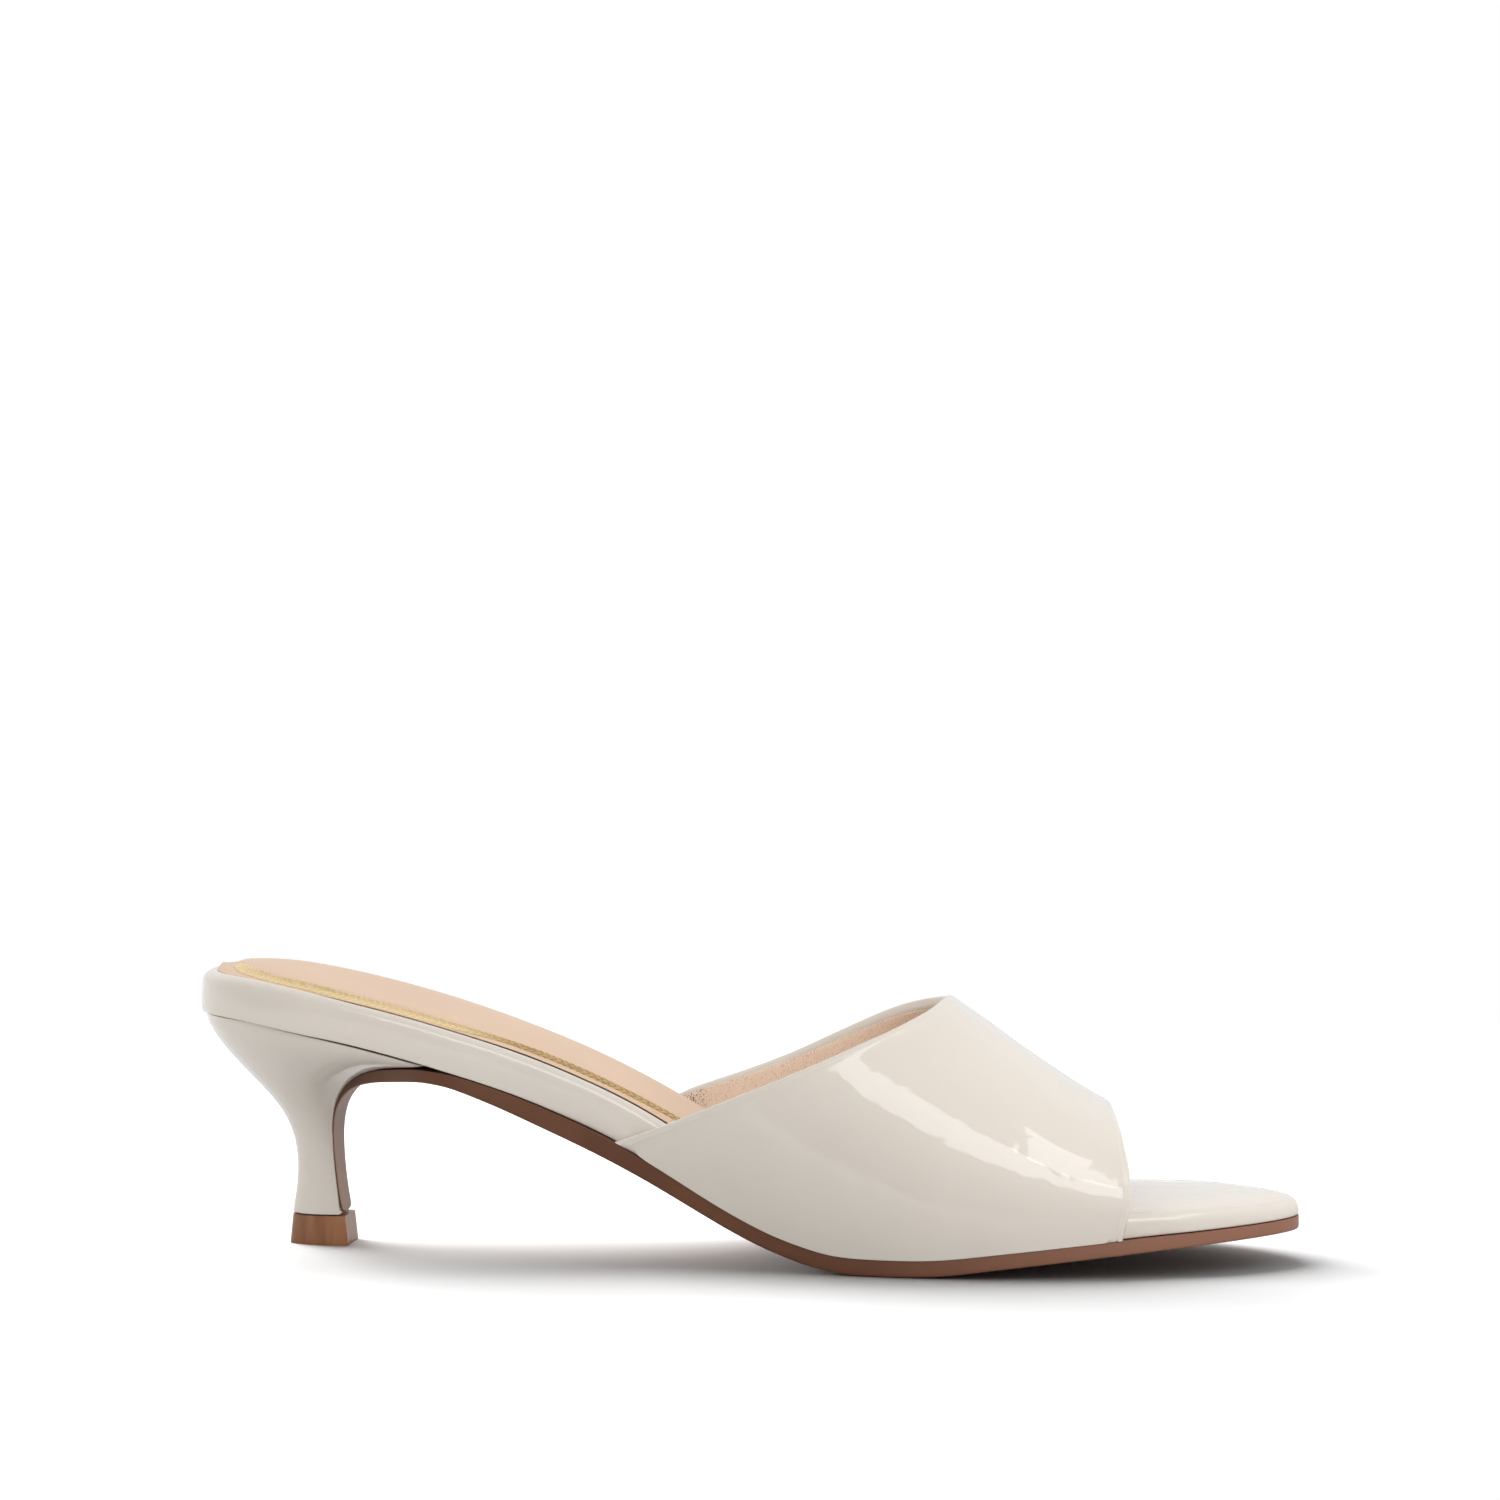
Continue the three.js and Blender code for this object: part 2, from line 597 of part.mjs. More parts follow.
const flapHalfAt = (hand) => {
  const rows = breastLevels.map((level, k) => ({
    along: knotLength(joinKnot + 1 + k) - knotLength(joinKnot),
    half: Math.abs((hand < 0 ? level.outer : level.inner)[heelArcSteps].y) - flapInset,
  }));
  return column([{ along: 0, half: soleHalf(joinX, hand) - soleEdgeInset }, ...rows], "half");
};
const flapHalf = { outer: flapHalfAt(-1), inner: flapHalfAt(1) };
const flapThick = column(flapTable, "thick");

function outsole() {
  const half = (u, hand) => {
    if (u < joinX) return (hand < 0 ? flapHalf.outer : flapHalf.inner)(joinX - u);
    return Math.max(0, soleHalf(u, hand) - soleEdgeInset);
  };
  const full = (x) => {
    const s = shareOf(x);
    const shank = (shankThickness - soleThickness) * side.shank(s);
    return soleThickness + shank + (soleToeThickness - soleThickness) * side.thin(s);
  };
  const thickness = (u) => {
    if (u >= joinX) return full(u);
    return lerp(flapThickness, full(joinX), flapThick((u - flapEndX) / flapLength));
  };
  const top = (u) => -pieceGap * (1 - smoothstep(u, lipX, joinX));
  const under = (u) => pieceGap / 2 - thickness(u);
  const bevel = (u) => Math.min(soleBevel, thickness(u) / 3);
  const part = 1 - Math.SQRT1_2;
  const rings = [
    { in: soleBevel, up: under },
    { in: soleBevel * part, up: (u) => under(u) + bevel(u) * part },
    { in: 0, up: (u) => under(u) + bevel(u) },
    { in: 0, up: top },
  ];
  const shank = stations(joinX, frontX, 0, toeRound);
  const flap = Array.from({ length: flapSteps }, (_, k) => lerp(flapEndX, joinX, k / flapSteps));
  return slab(planOf([...flap, ...shank], half), rings, overSole);
}

// The top piece: the heel's lowest outline, carried on under the flap and down to the floor, and flared.
function topPiece() {
  const skin = new Skin();
  const foot = heelLevels[heelLevels.length - 1];
  const backEdge = foot.outer[0].x;
  const footLength = foot.front.x - backEdge;
  const fullLength = footLength + pieceGap + topPieceFrontReach;
  const widest = Math.max(...foot.outer.map((p) => -p.y));
  const rowsAt = (z, flare) =>
    foot.outer.map((p) => {
      const share = (p.x - backEdge) / footLength;
      const reach = fullLength + flare * (topPieceFrontFlare + topPieceBackFlare);
      const x = backEdge - flare * topPieceBackFlare + share * reach;
      const half = (-p.y / widest) ** topPieceSquare * (topPieceWidth / 2);
      return Array.from({ length: heelBreastSteps + 1 }, (_, k) =>
        skin.add(new THREE.Vector3(x, lerp(-half, half, k / heelBreastSteps), z)),
      );
    });
  const low = rowsAt(0, 1);
  const high = rowsAt(topPieceHeight, 0);
  const loopOf = (rows) => [
    ...rows.map((row) => row[0]),
    ...rows[heelArcSteps].slice(1, -1),
    ...rows.map((row) => row[heelBreastSteps]).reverse(),
  ];
  skin.strip(loopOf(low), loopOf(high), true);
  skin.sheet(high, true);
  skin.sheet(low, false);
  return skin.geometry();
}

const finish = {
  patent: { color: 0xddd6cc, roughness: 0.12, metalness: 0 },
  sock: { color: 0xe3c4ab, roughness: 0.6, metalness: 0 },
  sole: { color: 0x7d5540, roughness: 0.45, metalness: 0 },
  tip: { color: 0x8a5a38, roughness: 0.35, metalness: 0 },
};

function piece(name, geometry, look) {
  const mesh = new THREE.Mesh(geometry, new THREE.MeshStandardMaterial(finish[look]));
  mesh.name = name;
  return mesh;
}

const shoe = new THREE.Group();
shoe.add(piece("upper", upper(), "patent"));
shoe.add(piece("insole", insole(), "sock"));
shoe.add(piece("footbed", footbed(), "patent"));
shoe.add(piece("outsole", outsole(), "sole"));
shoe.add(piece("heel", heel(), "patent"));
shoe.add(piece("top_piece", topPiece(), "tip"));
export default shoe;
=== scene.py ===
import json
import math

import bmesh
import bpy
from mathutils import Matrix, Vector

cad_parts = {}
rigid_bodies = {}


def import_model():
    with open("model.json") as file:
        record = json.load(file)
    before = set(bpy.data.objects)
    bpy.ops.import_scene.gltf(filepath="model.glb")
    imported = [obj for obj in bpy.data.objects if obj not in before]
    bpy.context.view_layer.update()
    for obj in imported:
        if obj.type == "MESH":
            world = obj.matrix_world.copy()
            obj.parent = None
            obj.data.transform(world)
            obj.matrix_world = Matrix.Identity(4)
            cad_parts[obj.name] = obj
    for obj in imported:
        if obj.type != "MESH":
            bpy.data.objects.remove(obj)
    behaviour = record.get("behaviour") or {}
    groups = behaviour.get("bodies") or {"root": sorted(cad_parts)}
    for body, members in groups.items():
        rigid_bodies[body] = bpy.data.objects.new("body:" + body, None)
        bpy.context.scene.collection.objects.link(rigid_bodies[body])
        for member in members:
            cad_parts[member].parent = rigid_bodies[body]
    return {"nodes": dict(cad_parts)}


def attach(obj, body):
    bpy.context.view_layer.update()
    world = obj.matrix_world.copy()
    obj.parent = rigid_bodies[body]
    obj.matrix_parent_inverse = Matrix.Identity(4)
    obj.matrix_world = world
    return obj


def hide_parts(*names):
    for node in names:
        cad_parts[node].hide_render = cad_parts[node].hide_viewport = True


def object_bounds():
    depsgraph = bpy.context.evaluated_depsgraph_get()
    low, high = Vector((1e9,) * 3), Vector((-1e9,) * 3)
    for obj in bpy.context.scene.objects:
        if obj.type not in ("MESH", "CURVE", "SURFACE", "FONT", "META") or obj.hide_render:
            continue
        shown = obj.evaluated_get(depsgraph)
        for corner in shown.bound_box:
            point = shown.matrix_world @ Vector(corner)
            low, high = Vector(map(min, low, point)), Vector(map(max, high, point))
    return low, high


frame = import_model()
cad_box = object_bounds()
nodes = frame["nodes"]

MM = 0.001

# Camera of the photograph
CAMERA_AZIMUTH = 7.5
CAMERA_PITCH = 3.105
CAMERA_PLACE = (156.46 * MM, -1180.87 * MM, 176.24 * MM)
CAMERA_LENS = 129.02
SENSOR = 36

# Sizes of the dressing
MERGE_DISTANCE = 0.002 * MM
EDGE_ROLL = 0.65 * MM
BLOCK_ROLL = 0.25 * MM
FOLD_LINE = 0.3 * MM
FOLD_PROUD = 0.18 * MM
LINING_THICKNESS = 0.3 * MM
LINING_MARGIN = 0.5 * MM
LINING_RADIUS = 32 * MM
LINING_MIDDLE = 10 * MM
THREAD = 0.36 * MM
SPECKLED_CORNER = (-15.4 * MM, 20.4 * MM, 32.0 * MM)
SPECKLED_REACH = (1.5 * MM, 5.5 * MM)
SOCK_PROUD = 0.5 * MM
SOCK_BORDER = 4.4 * MM
SOCK_STEP = 0.55 * MM
STEP_WIDTH = 1.2 * MM
STEP_FADE = (-66 * MM, -44 * MM)
EDGE_FADE = (0.2 * MM, 1.2 * MM)
OUTLINE_STEP = 2 * MM
SOLE_CLOSING = 0.2 * MM
HEEL_CLOSING = 0.03 * MM
COVER_GROWTH = 0.4 * MM
BLOCK_GROWTH = 0.15 * MM
# Span along the shoe over which the sole's edge is painted paler towards the toe, a painted light
SOLE_PAINTED_LIGHT_SPAN = (0, 105 * MM)

# Edges, in degrees between two faces, and the quads made from the CAD's loose triangles
BAND_EDGE = 40
BLOCK_EDGE = 50
QUAD_FACE = 50
QUAD_SHAPE = 60

# Parts of a piece, by where its faces lie and how far their normals point along an axis
ROOF_NORMAL = -0.3
ROOF_HEIGHT = 35 * MM
FEATHER_NORMAL = -0.6
FEATHER_AREA = 15 * MM * MM
COVER_SIDE = 0.9
SOCK_SIDE = 0.6
HEEL_END = -95 * MM
BREAST_PLACE = -62 * MM
SEAT_NORMAL = 0.7
BREAST_NORMAL = -0.5
TREAD_NORMAL = 0.55
HEEL_TOP = 0.8
HEEL_TOP_HEIGHT = 30 * MM

# Gold line pressed into the sock, from the back of the heel to the topline: place and width in mm
FOIL_ROUTE = (
    {"along": -113.8, "side": -6.0, "width": 2.4},
    {"along": -111.5, "side": -10.8, "width": 3.0},
    {"along": -108.5, "side": -14.4, "width": 3.4},
    {"along": -104.5, "side": -17.6, "width": 3.6},
    {"along": -99.0, "side": -19.4, "width": 3.8},
    {"along": -92.0, "side": -20.4, "width": 3.8},
    {"along": -84.0, "side": -20.9, "width": 3.8},
    {"along": -74.0, "side": -20.6, "width": 3.8},
    {"along": -63.0, "side": -19.9, "width": 3.2},
    {"along": -52.0, "side": -18.9, "width": 2.6},
    {"along": -44.0, "side": -18.7, "width": 3.0},
    {"along": -25.0, "side": -18.3, "width": 3.0},
    {"along": -10.0, "side": -17.6, "width": 2.6},
)

# Steps along that route in mm: from one column of the braid to the next, and of the walk that places them
BRAID_STEP = 0.7
ROUTE_STRIDE = 0.05

# Braid of the gold line: its notched edge, its chevrons and how it lies on the sock
BRAID_NOTCH = 0.22
FOIL_CHEVRONS = 75.0
CHEVRON_SLANT = 1.6
FOIL_METAL = 0.8
FOIL_ROWS = 4
FOIL_THICKNESS = 0.07 * MM
FOIL_GAP = 0.02 * MM
DROP_HEIGHT = 2 * MM

# Colours
CREAM = (0.675, 0.62, 0.55, 1)
CREAM_DEEP = (0.64, 0.58, 0.51, 1)
SOCK_TAN = (0.68, 0.48, 0.335, 1)
SOCK_TAN_DEEP = (0.63, 0.435, 0.30, 1)
LINING_PALE = (0.95, 0.78, 0.63, 1)
LINING_DEEP = (0.87, 0.68, 0.54, 1)
LINING_SHADE = (0.58, 0.40, 0.29, 1)
LINING_SPECK = (0.30, 0.15, 0.10, 1)
SOLE_BROWN = (0.14, 0.057, 0.029, 1)
SOLE_BROWN_DEEP = (0.105, 0.042, 0.021, 1)
# Paler brown of the sole's edge at the toe, a painted light
SOLE_TOE_PAINTED_LIGHT = (0.27, 0.125, 0.08, 1)
TREAD_BROWN = (0.30, 0.175, 0.12, 1)
TREAD_BROWN_DEEP = (0.22, 0.12, 0.078, 1)
TIP_BROWN = (0.33, 0.142, 0.06, 1)
TIP_BROWN_DEEP = (0.21, 0.08, 0.029, 1)
# Gold foil and its ground where the painted reflection makes them bright, at the heel
GOLD = (1.0, 0.79, 0.38, 1)
GOLD_GROUND = (0.66, 0.46, 0.29, 1)
# Duller gold and ground past the painted reflection, at the waist
GOLD_BEYOND_GLINT = (0.68, 0.44, 0.14, 1)
GROUND_BEYOND_GLINT = (0.22, 0.12, 0.04, 1)
WHITE = (1, 1, 1, 1)

# Light and floor, with distances in metres
VAMP_MIDDLE = Vector((50 * MM, -30 * MM, 35 * MM))
SOFTBOX_DISTANCE = 1.1
FILL_DISTANCE = 0.45
KEY_WAY = (-0.4, 0.5, 0.77)
PANEL_PLACE = (0.257, -0.161, 0.3)
PANEL_TURN = 4
WORLD_FRONT = 0.12
WORLD_BACK = 0.88
WORLD_TOP = 0.36
FLOOR_SIZE = 40
FLOOR_NEAR = 0.3
FLOOR_FAR = 0.55
FLOOR_BOUNCE = (0.52, 0.52, 0.52, 1)
FLOOR_SEEN = (0.95, 0.95, 0.95, 1)


def only(piece):
    """Deselects everything, then makes the piece the one that tools work on."""
    bpy.ops.object.select_all(action="DESELECT")
    piece.select_set(True)
    bpy.context.view_layer.objects.active = piece


def select_mode(piece, mode):
    """Turns to faces, edges or points with none of them selected, and returns the mesh."""
    bpy.ops.mesh.select_mode(type=mode)
    bpy.ops.mesh.select_all(action="DESELECT")
    return bmesh.from_edit_mesh(piece.data)


def into_edit(piece, mode="FACE"):
    only(piece)
    bpy.ops.object.mode_set(mode="EDIT")
    return select_mode(piece, mode)


def out_of_edit():
    bpy.ops.object.mode_set(mode="OBJECT")


def pick(piece, elements, test):
    """Selects in edit mode the faces, edges or points that the test picks."""
    for element in elements:
        element.select_set(bool(test(element)))
    bmesh.update_edit_mesh(piece.data)


def copy_of(node, name):
    """A copy of a CAD node's mesh, with its loose triangles merged into quads."""
    piece = bpy.data.objects.new(name, nodes[node].data.copy())
    bpy.context.scene.collection.objects.link(piece)
    piece.data.name = name
    piece.data.materials.clear()
    into_edit(piece)
    bpy.ops.mesh.select_all(action="SELECT")
    bpy.ops.mesh.remove_doubles(threshold=MERGE_DISTANCE)
    bpy.ops.mesh.tris_convert_to_quads(
        face_threshold=math.radians(QUAD_FACE), shape_threshold=math.radians(QUAD_SHAPE)
    )
    out_of_edit()
    return piece


def sharp(edge, degrees=BAND_EDGE):
    return len(edge.link_faces) == 2 and edge.calc_face_angle() > math.radians(degrees)


def bevel_selected(width, segments, clamp=True):
    bpy.ops.mesh.bevel(
        offset=width, offset_type="OFFSET", segments=segments, affect="EDGES", clamp_overlap=clamp
    )


def grow(piece, distance, chosen):
    """Moves the chosen faces out a little, to close a gap or to make up for what smoothing draws in."""
    mesh = into_edit(piece)
    pick(piece, mesh.faces, chosen)
    bpy.ops.transform.shrink_fatten(value=distance)
    out_of_edit()


def round_block(piece):
    """Rounds every sharp edge of a block a little."""
    mesh = into_edit(piece, "EDGE")
    pick(piece, mesh.edges, lambda edge: sharp(edge, BLOCK_EDGE))
    bevel_selected(BLOCK_ROLL, segments=2)
    out_of_edit()


def modify(piece, kind, **settings):
    """Adds a modifier with these settings and applies it."""
    only(piece)
    modifier = piece.modifiers.new(kind.title(), kind)
    for name, value in settings.items():
        setattr(modifier, name, value)
    bpy.ops.object.modifier_apply(modifier=modifier.name)


def smooth(piece, levels, degrees=BAND_EDGE):
    """Subdivides the piece by its levels, if any, and shades it smooth except at its edges."""
    if levels:
        modify(piece, "SUBSURF", levels=levels, render_levels=levels)
    only(piece)
    bpy.ops.object.shade_smooth_by_angle(angle=math.radians(degrees))


def dress(piece, material, slot, *replaced):
    """Gives the piece its material and body, and hides the CAD nodes that it stands for; the slot is not
    used.
    """
    piece.data.materials.append(material)
    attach(piece, "root")
    if replaced:
        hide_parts(*replaced)


# Shared shader groups
def new_group(name, inputs, outputs):
    """A node group with these sockets, and its input and output nodes."""
    group = bpy.data.node_groups.new(name, "ShaderNodeTree")
    for label, kind, value in inputs:
        socket = group.interface.new_socket(label, in_out="INPUT", socket_type=kind)
        socket.default_value = value
    for label, kind in outputs:
        group.interface.new_socket(label, in_out="OUTPUT", socket_type=kind)
    start = group.nodes.new("NodeGroupInput")
    end = group.nodes.new("NodeGroupOutput")
    return group, start, end


def fill(tree, node, name, source):
    """Gives a socket a number or colour, or links another socket to it."""
    if isinstance(source, bpy.types.NodeSocket):
        tree.links.new(source, node.inputs[name])
    elif source is not None:
        node.inputs[name].default_value = source


def noise(tree, coordinates, scale, detail, roughness=0.5):
    node = tree.nodes.new("ShaderNodeTexNoise")
    fill(tree, node, "Vector", coordinates)
    fill(tree, node, "Scale", scale)
    fill(tree, node, "Detail", detail)
    fill(tree, node, "Roughness", roughness)
    return node.outputs["Fac"]


def cells(tree, coordinates, scale):
    """How far a place is from the middle of its cell."""
    node = tree.nodes.new("ShaderNodeTexVoronoi")
    fill(tree, node, "Vector", coordinates)
    fill(tree, node, "Scale", scale)
    return node.outputs["Distance"]


def ribs(tree, coordinates, scale, distortion, direction="X"):
    node = tree.nodes.new("ShaderNodeTexWave")
    node.bands_direction = direction
    fill(tree, node, "Vector", coordinates)
    fill(tree, node, "Scale", scale)
    fill(tree, node, "Distortion", distortion)
    return node.outputs["Fac"]


def math_node(tree, operation, first, second=None):
    node = tree.nodes.new("ShaderNodeMath")
    node.operation = operation
    fill(tree, node, 0, first)
    fill(tree, node, 1, second)
    return node.outputs[0]


def ramp(tree, value, low, high, start=0.0, end=1.0):
    """A smooth step of the value from low to high."""
    node = tree.nodes.new("ShaderNodeMapRange")
    node.interpolation_type = "SMOOTHSTEP"
    fill(tree, node, "Value", value)
    fill(tree, node, "From Min", low)
    fill(tree, node, "From Max", high)
    fill(tree, node, "To Min", start)
    fill(tree, node, "To Max", end)
    return node.outputs["Result"]


def blend_colours(tree, share, first, second):
    node = tree.nodes.new("ShaderNodeMix")
    node.data_type = "RGBA"
    # The node's colours are its sockets 6 and 7, and their blend is its output 2
    fill(tree, node, 0, share)
    fill(tree, node, 6, first)
    fill(tree, node, 7, second)
    return node.outputs[2]


def place_of(tree, kind="Object"):
    return tree.nodes.new("ShaderNodeTexCoord").outputs[kind]


def stretched(tree, coordinates, scale):
    node = tree.nodes.new("ShaderNodeMapping")
    fill(tree, node, "Vector", coordinates)
    fill(tree, node, "Scale", scale)
    return node.outputs["Vector"]


def axes_of(tree, coordinates):
    node = tree.nodes.new("ShaderNodeSeparateXYZ")
    fill(tree, node, "Vector", coordinates)
    return node.outputs


def make_waviness():
    """Height of the long soft waves, the ripples and the fine orange peel of a varnished skin."""
    group, start, end = new_group(
        "varnish_waves",
        [
            ("Wave Scale", "NodeSocketFloat", 60.0),
            ("Ripple Scale", "NodeSocketFloat", 260.0),
            ("Ripple Share", "NodeSocketFloat", 0.12),
            ("Peel Scale", "NodeSocketFloat", 1500.0),
        ],
        [("Wave", "NodeSocketFloat"), ("Peel", "NodeSocketFloat")],
    )
    place = place_of(group)
    wave = noise(group, place, start.outputs["Wave Scale"], detail=0.0)
    ripple = noise(group, place, start.outputs["Ripple Scale"], detail=1.0)
    peel = noise(group, place, start.outputs["Peel Scale"], detail=2.0)
    part = math_node(group, "MULTIPLY", ripple, start.outputs["Ripple Share"])
    fill(group, end, "Wave", math_node(group, "ADD", wave, part))
    fill(group, end, "Peel", peel)
    return group


def make_tone():
    """A colour that drifts a little over the surface, with fine specks."""
    group, start, end = new_group(
        "tone_drift",
        [
            ("Colour", "NodeSocketColor", (0.7, 0.65, 0.6, 1.0)),
            ("Second Colour", "NodeSocketColor", (0.6, 0.55, 0.5, 1.0)),
            ("Drift Scale", "NodeSocketFloat", 30.0),
            ("Speck Scale", "NodeSocketFloat", 900.0),
            ("Drift", "NodeSocketFloat", 0.3),
            ("Specks", "NodeSocketFloat", 0.1),
        ],
        [("Colour", "NodeSocketColor")],
    )
    place = place_of(group)
    clouds = noise(group, place, start.outputs["Drift Scale"], detail=3.0)
    grains = noise(group, place, start.outputs["Speck Scale"], detail=2.0)
    clouded = ramp(group, clouds, low=0.3, high=0.7)
    grained = ramp(group, grains, low=0.55, high=0.75)
    drifted = math_node(group, "MULTIPLY", clouded, start.outputs["Drift"])
    speckled = math_node(group, "MULTIPLY", grained, start.outputs["Specks"])
    share = math_node(group, "ADD", drifted, speckled)
    colour = blend_colours(group, share, start.outputs["Colour"], start.outputs["Second Colour"])
    fill(group, end, "Colour", colour)
    return group


waviness = make_waviness()
tone = make_tone()


# Materials
def new_material(name, **values):
    """A material with one Principled shader, whose sockets take these values."""
    material = bpy.data.materials.new(name)
    material.use_nodes = True
    tree = material.node_tree
    tree.nodes.clear()
    out = tree.nodes.new("ShaderNodeOutputMaterial")
    shader = tree.nodes.new("ShaderNodeBsdfPrincipled")
    for label, value in values.items():
        shader.inputs[label.replace("_", " ")].default_value = value
    tree.links.new(shader.outputs["BSDF"], out.inputs["Surface"])
    return material, tree, shader


def use_group(tree, group, **values):
    node = tree.nodes.new("ShaderNodeGroup")
    node.node_tree = group
    for name, value in values.items():
        fill(tree, node, name.replace("_", " "), value)
    return node


def bump(tree, height, distance, strength, normal=None):
    node = tree.nodes.new("ShaderNodeBump")
    fill(tree, node, "Distance", distance)
    fill(tree, node, "Strength", strength)
    fill(tree, node, "Height", height)
    fill(tree, node, "Normal", normal)
    return node.outputs["Normal"]


def tinted(tree, colour, second, **values):
    return use_group(tree, tone, Colour=colour, Second_Colour=second, **values).outputs["Colour"]


def patent_material():
    """A clear coat on long soft waves, over a cream ground with a fine orange peel."""
    material, tree, shader = new_material(
        "cream_patent", Roughness=0.5, Coat_Weight=1.0, Coat_Roughness=0.03
    )
    colour = tinted(tree, CREAM, CREAM_DEEP, Drift_Scale=22.0, Drift=0.5)
    waves = use_group(tree, waviness, Wave_Scale=55.0, Ripple_Scale=210.0, Ripple_Share=0.3)
    broad = bump(tree, waves.outputs["Wave"], distance=0.9 * MM, strength=0.4)
    fine = bump(tree, waves.outputs["Peel"], distance=0.02 * MM, strength=0.3, normal=broad)
    fill(tree, shader, "Base Color", colour)
    fill(tree, shader, "Coat Normal", broad)
    fill(tree, shader, "Normal", fine)
    return material


def sock_material():
    """Soft leather, with a fine grain over small pebbles."""
    material, tree, shader = new_material("tan_sock", Roughness=0.55, Sheen_Weight=0.1)
    colour = tinted(tree, SOCK_TAN, SOCK_TAN_DEEP, Drift_Scale=45.0, Drift=0.5)
    place = place_of(tree)
    pebble = bump(tree, cells(tree, place, scale=1100.0), distance=0.05 * MM, strength=0.35)
    grain = noise(tree, place, scale=2400.0, detail=3.0, roughness=0.6)
    fill(tree, shader, "Base Color", colour)
    fill(tree, shader, "Normal", bump(tree, grain, distance=0.04 * MM, strength=0.4, normal=pebble))
    return material


def lining_material():
    """Fine twill on the piece's own weave map, with painted shade deep in its weave and a rubbed,
    speckled corner low on the inner side.
    """
    material, tree, shader = new_material("woven_lining", Roughness=0.85, Sheen_Weight=0.2)
    threads = place_of(tree, "UV")
    slanted = stretched(tree, threads, (0.35, 0.35, 1.0))
    rib = ribs(tree, slanted, scale=0.9, distortion=0.6, direction="DIAGONAL")
    weft = ribs(tree, threads, scale=0.32, distortion=0.4)
    height = math_node(tree, "MULTIPLY", rib, weft)
    dot = ramp(tree, cells(tree, threads, scale=0.7), low=0.16, high=0.34, start=0.35, end=0.0)
    away = tree.nodes.new("ShaderNodeVectorMath")
    away.operation = "DISTANCE"
    fill(tree, away, 0, place_of(tree))
    fill(tree, away, 1, SPECKLED_CORNER)
    worn = ramp(tree, away.outputs["Value"], *SPECKLED_REACH, start=1.0, end=0.0)
    specks = ramp(tree, noise(tree, place_of(tree), scale=2600.0, detail=1.0), low=0.52, high=0.6)
    dark = math_node(tree, "MAXIMUM", dot, math_node(tree, "MULTIPLY", worn, specks))
    cloth = tinted(tree, LINING_PALE, LINING_DEEP, Drift_Scale=60.0, Drift=0.6)
    # Painted shade: the low parts of the weave are darkened in colour
    hollow_shade = ramp(tree, height, low=0.0, high=0.5, start=0.3, end=0.0)
    shaded = blend_colours(tree, hollow_shade, cloth, LINING_SHADE)
    fill(tree, shader, "Base Color", blend_colours(tree, dark, shaded, LINING_SPECK))
    fill(tree, shader, "Normal", bump(tree, height, distance=0.12 * MM, strength=0.7))
    return material


def sole_edge_material():
    """Dark brown at the waist and paler towards the toe in painted light, with faint streaks along the
    edge.
    """
    material, tree, shader = new_material("polished_sole_edge", Roughness=0.4, Specular_IOR_Level=0.3)
    brown = tinted(tree, SOLE_BROWN, SOLE_BROWN_DEEP, Drift_Scale=70.0, Drift=0.7)
    # Painted light: the edge grows paler towards the toe, standing in for the light it takes there
    paler = ramp(tree, axes_of(tree, place_of(tree))["X"], *SOLE_PAINTED_LIGHT_SPAN)
    streaks = noise(tree, stretched(tree, place_of(tree), (0.15, 0.15, 6.0)), scale=220.0, detail=3.0)
    fill(tree, shader, "Base Color", blend_colours(tree, paler, brown, SOLE_TOE_PAINTED_LIGHT))
    fill(tree, shader, "Normal", bump(tree, streaks, distance=0.08 * MM, strength=0.35))
    return material


def sole_tread_material():
    material, tree, shader = new_material("pebbled_tread", Roughness=0.5)
    colour = tinted(tree, TREAD_BROWN, TREAD_BROWN_DEEP, Drift_Scale=50.0, Drift=0.6, Specks=0.3)
    pebble = cells(tree, place_of(tree), scale=1300.0)
    fill(tree, shader, "Base Color", colour)
    fill(tree, shader, "Normal", bump(tree, pebble, distance=0.08 * MM, strength=0.4))
    return material


def tip_material():
    """Moulded tip with upright bands of two browns."""
    material, tree, shader = new_material(
        "brown_wear_tip", Roughness=0.35, Coat_Weight=0.15, Coat_Roughness=0.2
    )
    bands = noise(tree, stretched(tree, place_of(tree), (1.0, 1.0, 0.12)), scale=260.0, detail=2.0)
    share = ramp(tree, bands, low=0.35, high=0.65)
    fill(tree, shader, "Base Color", blend_colours(tree, share, TIP_BROWN_DEEP, TIP_BROWN))
    fill(tree, shader, "Normal", bump(tree, bands, distance=0.06 * MM, strength=0.3))
    return material


